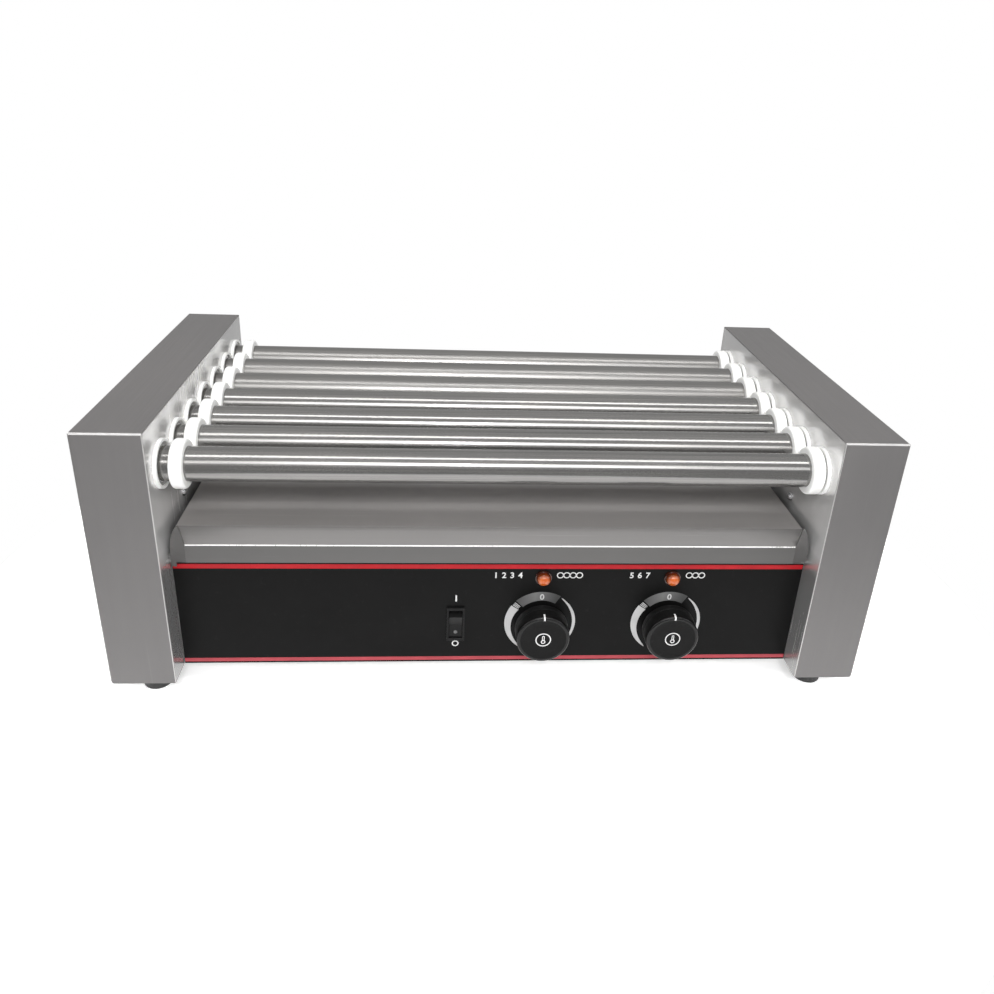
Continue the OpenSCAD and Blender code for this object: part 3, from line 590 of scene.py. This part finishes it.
# For each heat zone: its rollers, the left end of that text, the first ring and the number of rings
ZONES = (("1 2 3 4", -2.2, 49.3, 4), ("5 6 7", 103.4, 150.5, 3))

KNOBS = [middle_xz("front_knob"), middle_xz("rear_knob")]
SWITCH_X = middle_xz("switch_housing")[0]

# The dials: radii in metres, angles clockwise from straight up
DIAL_R = 28.5 * MM
PATCH_R = 20.5 * MM
ZERO_UP, ZERO_SIZE = 21.4 * MM, 7.2 * MM
PATCH_SPAN = (-45, 31)
WIDE_SPAN = (-56, -147)
THIN_SPAN = (34, 124)
TICKS = (-53.6, -51.0, -48.4)
TICK_HALF = 0.8


def print_piece(name, look, draw):
    bm = bmesh.new()
    draw(bm)
    add_mesh(name, bm, look, "frame", smooth=False)


def bar(bm, x0, x1, heights):
    """An upright rectangle of ink between two heights, which are in mm."""
    z0, z1 = (BASE + z * MM for z in heights)
    prism(bm, [(x0, z1), (x1, z1), (x1, z0), (x0, z0)], *PRINT)


def stripe(heights):
    return lambda bm: bar(bm, -STRIPE_HALF, STRIPE_HALF, heights)


print_piece("print_upper_stripe", "red", stripe(UPPER_STRIPE))
print_piece("print_lower_stripe", "faded", stripe(LOWER_STRIPE))


def dial_patch(centre):
    start, end = PATCH_SPAN
    return lambda bm: prism(bm, arc(*centre, DIAL_R, start, end) + arc(*centre, PATCH_R, end, start), *PRINT)


def scale_band(bm, centre, rim, span, width):
    """A curved band inside a rim. width gives its width in mm at each share of the way along it."""
    (cx, cz), (start, end) = centre, span
    steps = 40
    inner = []
    for k in range(steps + 1):
        share = 1 - k / steps
        a = math.radians(start + (end - start) * share)
        r = rim - width(share) * MM
        inner.append((cx + r * math.sin(a), cz + r * math.cos(a)))
    prism(bm, arc(cx, cz, rim, start, end, steps) + inner, *PRINT)


def wide_width(share):
    """Widest at the top, running out to a point."""
    return 6.8 * (1 - share) ** 0.6 + 0.15


def thin_width(share):
    """Thin at the top, widest half way down, running out to a point."""
    return 2.3 * math.sin(math.pi * min(1.0, 0.12 + 0.88 * (1 - share))) ** 0.6 + 0.15


def dial_scales(bm):
    for centre in KNOBS:
        scale_band(bm, centre, DIAL_R, WIDE_SPAN, wide_width)
        scale_band(bm, centre, DIAL_R - 0.9 * MM, THIN_SPAN, thin_width)


def dial_ticks(bm):
    for cx, cz in KNOBS:
        for a in TICKS:
            before, after = a - TICK_HALF, a + TICK_HALF
            prism(bm, arc(cx, cz, DIAL_R - 0.6 * MM, before, after, 4)
                  + arc(cx, cz, DIAL_R - 6.2 * MM, after, before, 4), *PRINT)


print_piece("print_front_patch", "front_dial", dial_patch(KNOBS[0]))
print_piece("print_rear_patch", "rear_dial", dial_patch(KNOBS[1]))
print_piece("print_dial_scales", "light", dial_scales)
print_piece("print_dial_ticks", "light", dial_ticks)


def printed_ring(bm, x, z, radii):
    """A small ring of ink; the height and the radii are in mm."""
    ring_band(bm, x, BASE + z * MM, [r * MM for r in radii], PRINT, 32)


def labels(bm):
    """The rollers of each heat zone in numbers and in linked rings, and the I and O of the switch."""
    for text, x, first, count in ZONES:
        digits(bm, text, TEXT_SIZE * MM, x * MM, BASE + TEXT_Z * MM, PRINT, spacing=1.12)
        for k in range(count):
            printed_ring(bm, (first + CHAIN_PITCH * k) * MM, CHAIN_Z, CHAIN_RADII)
    bar(bm, SWITCH_X - ON_HALF * MM, SWITCH_X + ON_HALF * MM, ON_Z)
    printed_ring(bm, SWITCH_X, OFF_Z, OFF_RADII)


print_piece("print_labels", "pale", labels)


def zeros(bm):
    over_patch = (PRINT[0] - 0.03 * MM, PRINT[1])
    for cx, cz in KNOBS:
        digits(bm, "0", ZERO_SIZE, cx, cz + ZERO_UP, over_patch, "CENTER")


print_piece("print_zeros", "pale", zeros)

# -------------------------------------------------------------------- knobs

# The grip's outline from the middle of its face to its back: (mm in from the rim, mm behind the face)
GRIP = ((4.2, 0.16), (3.6, 0.04), (3.0, 0), (1.9, 0), (1.2, 0.18), (0.65, 0.6), (0.34, 1.2), (0.25, 2.2),
        (0.12, 8.0), (0.12, 10.9), (0.35, 11.2), (0.12, 11.5), (0, 14.4), (0.15, 16.2), (0.7, 16.7))
# The shallow dish inside it, as shares of the radius
DISH = ((0, 0.45), (0.30, 0.42), (0.62, 0.33))
GRIP_DEPTH = 16.7
HUB_R = 14.0
# The white pointer's outline, like GRIP's: over the rim, on to the face and back inside the knob
POINTER = ((0.10, 4.6), (0.16, 2.2), (0.24, 1.15), (0.55, 0.55), (1.1, 0.12), (1.9, -0.06), (3.0, -0.06),
           (3.0, 0.5), (1.9, 1.6), (1.0, 4.6))
POINTER_HALF = 0.65 * MM
ICON_DEPTHS = (0.33, 0.75)


def grip(name, centre, y, r, back, body, node):
    """A smooth round knob: bevelled rim, shallow dished face, moulding line, skirt with a shadow gap."""
    dish = [(r * share, y + d * MM) for share, d in DISH]
    shell = [(r - inset * MM, y + d * MM) for inset, d in GRIP]
    hub = [((HUB_R + 0.2) * MM, y + GRIP_DEPTH * MM), (HUB_R * MM, y + (GRIP_DEPTH + 0.2) * MM),
           (HUB_R * MM, back - 0.3 * MM), ((HUB_R - 0.3) * MM, back), (0, back)]
    bm = bmesh.new()
    lathe(bm, dish + shell + hub, centre, 128)
    ob = add_mesh(name, bm, "knob", body)
    ob.data.materials.append(M["gloss"])
    for face in ob.data.polygons:
        away = math.hypot(face.center.x - centre[0], face.center.z - centre[1])
        if face.center.y < y + 2 * MM and away > r - 2.6 * MM:
            face.material_index = 1
    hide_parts(node)


def pointer(name, centre, y, r, body):
    """A white pointer that wraps from the grip over the rim on to the face."""
    cx, cz = centre
    bm = bmesh.new()
    left, right = ([bm.verts.new((cx + dx, y + d * MM, cz + r - inset * MM)) for inset, d in POINTER]
                   for dx in (-POINTER_HALF, POINTER_HALF))
    bm.faces.new(left)
    bm.faces.new(right[::-1])
    for k in range(len(POINTER)):
        n = (k + 1) % len(POINTER)
        bm.faces.new((left[k], right[k], right[n], left[n]))
    add_mesh(name, bm, "pale", body, smooth=False)


def thermometer(name, centre, y, body):
    """A plain thermometer in a ring, filled into the face of a knob."""
    cx, cz = centre
    depths = [y + d * MM for d in ICON_DEPTHS]
    bulb_z, foot_z, top_z = cz - 1.9 * MM, cz - 0.55 * MM, cz + 2.7 * MM
    outer, inner = 0.95 * MM, 0.4 * MM
    bm = bmesh.new()
    ring_band(bm, cx, cz, (6.0 * MM, 5.2 * MM), depths, 64)
    ring_band(bm, cx, bulb_z, (1.75 * MM, 1.05 * MM), depths, 40)
    stem = ([(cx - outer, foot_z)] + arc(cx, top_z, outer, -90, 90, 16) + [(cx + outer, foot_z)]
            + [(cx + inner, foot_z)] + arc(cx, top_z, inner, 90, -90, 12) + [(cx - inner, foot_z)])
    prism(bm, stem, *depths)
    add_mesh(name, bm, "pale", body, smooth=False)


for end in ("front", "rear"):
    node, body = end + "_knob", end + "_heat"
    lo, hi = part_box(node)
    centre, radius = middle_xz(node), (hi.x - lo.x) / 2
    grip(node + "_grip", centre, lo.y, radius, hi.y, body, node)
    pointer(node + "_grip_pointer", centre, lo.y, radius, body)
    thermometer(node + "_grip_icon", centre, lo.y, body)

# -------------------------------------------------------------- switch marks

# The rocker's lower face leans in towards its lower edge, in degrees
ROCKER_LEAN = -2.5
# The pip's outline from its tip to its foot: (radius, mm behind the rocker's skin)
PIP = ((0, -0.40), (0.8, -0.33), (1.4, -0.12), (1.6, 0.3), (1.6, 1.2), (0, 1.2))


def rocker_face_y(z):
    """How far forward the rocker's skin is at height z on its middle plane."""
    bm = bmesh.new()
    bm.from_mesh(NODES["switch_rocker"].data)
    place = BVHTree.FromBMesh(bm).ray_cast(Vector((SWITCH_X, -1, z)), Vector((0, 1, 0)))[0]
    bm.free()
    return place.y


def rocker_pip():
    """A raised pip on the lower half of the rocker."""
    lo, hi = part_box("switch_rocker")
    z = lo.z + 0.19 * (hi.z - lo.z)
    bm = bmesh.new()
    lathe(bm, [(r * MM, y * MM) for r, y in PIP], (0, 0), 32)
    lean = Matrix.Rotation(math.radians(ROCKER_LEAN), 4, "X")
    bm.transform(Matrix.Translation((SWITCH_X, rocker_face_y(z), z)) @ lean)
    add_mesh("rocker_pip", bm, "dim", "rocker")


rocker_pip()

# -------------------------------------------------------- steel bush washers

WASHER_RADII = (15.6 * MM, 13.1 * MM)
# Their two faces, from the inner face of the bushes towards the wall
WASHER_DEPTHS = (1.25 * MM, 1.05 * MM)


def washers(name, side, node):
    """The steel disc behind the rim of each wall bush. side is -1 for the left wall and 1 for the right."""
    lo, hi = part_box(node)
    face = hi.x if side < 0 else lo.x
    bm = bmesh.new()
    for i in range(1, 8):
        t_lo, t_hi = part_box(f"roller_tube_{i}")
        cy, cz = (t_lo.y + t_hi.y) / 2, (t_lo.z + t_hi.z) / 2

        def around(r, t, depth):
            return face + side * depth, cy + r * math.cos(t), cz + r * math.sin(t)

        closed_ring(bm, around, WASHER_RADII, WASHER_DEPTHS, 64)
    add_mesh(name, bm, "wall", "frame")


washers("bush_washers_left", -1, "left_wall_bushes")
washers("bush_washers_right", 1, "right_wall_bushes")

# -------------------------------------------------------------------- stage

FLOOR_R = 0.46


def stage():
    """A plain round white floor that gives back some light of its own."""
    s = Shader("stage_floor", **{"Roughness": 0.9, "Specular IOR Level": 0.1,
                                 "Emission Color": (1, 1, 1, 1), "Emission Strength": 0.42})
    cloud = s.noise(1.5, detail=2.0)
    s.colour(s.mix(s.remap(cloud, 0.3, 0.7), (0.86, 0.86, 0.86), (0.88, 0.88, 0.88)))
    bm = bmesh.new()
    bmesh.ops.create_circle(bm, cap_ends=True, radius=FLOOR_R, segments=96)
    me = bpy.data.meshes.new("floor")
    bm.to_mesh(me)
    bm.free()
    floor = bpy.data.objects.new("floor", me)
    me.materials.append(s.mat)
    bpy.context.scene.collection.objects.link(floor)


stage()


# The room's grey from straight below (0) to straight overhead (1), and its strength
ROOM_STOPS = [(0.0, 0.62), (0.10, 0.60), (0.35, 0.72), (0.65, 0.85), (1.0, 1.05)]
ROOM_STRENGTH = 0.74


def world():
    """A pale room that lights the grill, and plain white behind it for the camera."""
    w = bpy.data.worlds.new("studio")
    bpy.context.scene.world = w
    w.use_nodes = True
    t = w.node_tree
    t.nodes.clear()
    out = t.nodes.new("ShaderNodeOutputWorld")
    coord = t.nodes.new("ShaderNodeTexCoord")
    split = t.nodes.new("ShaderNodeSeparateXYZ")
    ramp = t.nodes.new("ShaderNodeValToRGB")
    t.links.new(coord.outputs["Generated"], split.inputs[0])
    t.links.new(split.outputs["Z"], ramp.inputs[0])
    while len(ramp.color_ramp.elements) < len(ROOM_STOPS):
        ramp.color_ramp.elements.new(0.5)
    for e, (p, v) in zip(ramp.color_ramp.elements, ROOM_STOPS):
        e.position = p
        e.color = (v, v, v, 1)
    room = t.nodes.new("ShaderNodeBackground")
    room.inputs["Strength"].default_value = ROOM_STRENGTH
    t.links.new(ramp.outputs["Color"], room.inputs["Color"])
    white = t.nodes.new("ShaderNodeBackground")
    white.inputs["Color"].default_value = (1, 1, 1, 1)
    path = t.nodes.new("ShaderNodeLightPath")
    mix = t.nodes.new("ShaderNodeMixShader")
    t.links.new(path.outputs["Is Camera Ray"], mix.inputs[0])
    t.links.new(room.outputs[0], mix.inputs[1])
    t.links.new(white.outputs[0], mix.inputs[2])
    t.links.new(mix.outputs[0], out.inputs["Surface"])


world()


AIM = (0, -0.02, 0.15)
# The middle of the row of rollers, (y, z)
ROLLERS = (-0.05, 0.19)


def polar(elevation, distance, x=0.0):
    """A place at an elevation above the front horizon, seen from the rollers."""
    e = math.radians(elevation)
    return (x, ROLLERS[0] - distance * math.cos(e), ROLLERS[1] + distance * math.sin(e))


# Softboxes: (name, place, (length along X, height), watts)
SOFTBOXES = (
    ("strip_high", polar(75, 2.2), (3.2, 0.28), 22),
    ("strip_low", polar(35, 2.2), (3.2, 0.58), 16),
    ("key", polar(35, 2.15, x=0.07), (1.3, 0.58), 7),
    ("flash", polar(35, 1.6), (0.11, 0.11), 7),
    ("side_box", (-2.3, -1.1, 1.2), (1.2, 1.2), 10),
    ("side_box", (2.3, -1.1, 1.2), (1.2, 1.2), 10),
)


def softbox(name, place, size, power):
    """A rectangular light that faces AIM, with its long side along X."""
    data = bpy.data.lights.new(name, "AREA")
    data.shape = "RECTANGLE"
    data.size, data.size_y = size
    data.energy = power
    ob = bpy.data.objects.new(name, data)
    ob.location = place
    z = (Vector(place) - Vector(AIM)).normalized()
    x = Vector((1, 0, 0))
    x = (x - z * x.dot(z)).normalized()
    ob.rotation_euler = Matrix((x, z.cross(x), z)).transposed().to_euler()
    bpy.context.scene.collection.objects.link(ob)


for light in SOFTBOXES:
    softbox(*light)

CAMERA_PLACE = (-0.0437, -0.6621, 0.4559)
# In radians: turned to the right, tipped down, rolled
YAW, PITCH, ROLL = 0.0858, 0.4094, 0.0488


def camera():
    cam = bpy.data.cameras.new("camera")
    cam.sensor_width = 36.0
    cam.lens = 30.355
    cam.shift_x = -0.0106
    cam.shift_y = -0.0685
    cam.clip_start, cam.clip_end = 0.02, 60
    ob = bpy.data.objects.new("camera", cam)
    ahead = Vector((math.sin(YAW) * math.cos(PITCH), math.cos(YAW) * math.cos(PITCH), -math.sin(PITCH)))
    level = Vector((math.cos(YAW), -math.sin(YAW), 0))
    upright = level.cross(ahead)
    right = level * math.cos(ROLL) + upright * math.sin(ROLL)
    up = upright * math.cos(ROLL) - level * math.sin(ROLL)
    place = Matrix((right, up, -ahead)).transposed().to_4x4()
    place.translation = Vector(CAMERA_PLACE)
    ob.matrix_world = place
    bpy.context.scene.collection.objects.link(ob)
    bpy.context.scene.camera = ob


camera()
bpy.context.scene.view_settings.view_transform = "Standard"
bpy.context.scene.view_settings.look = "None"
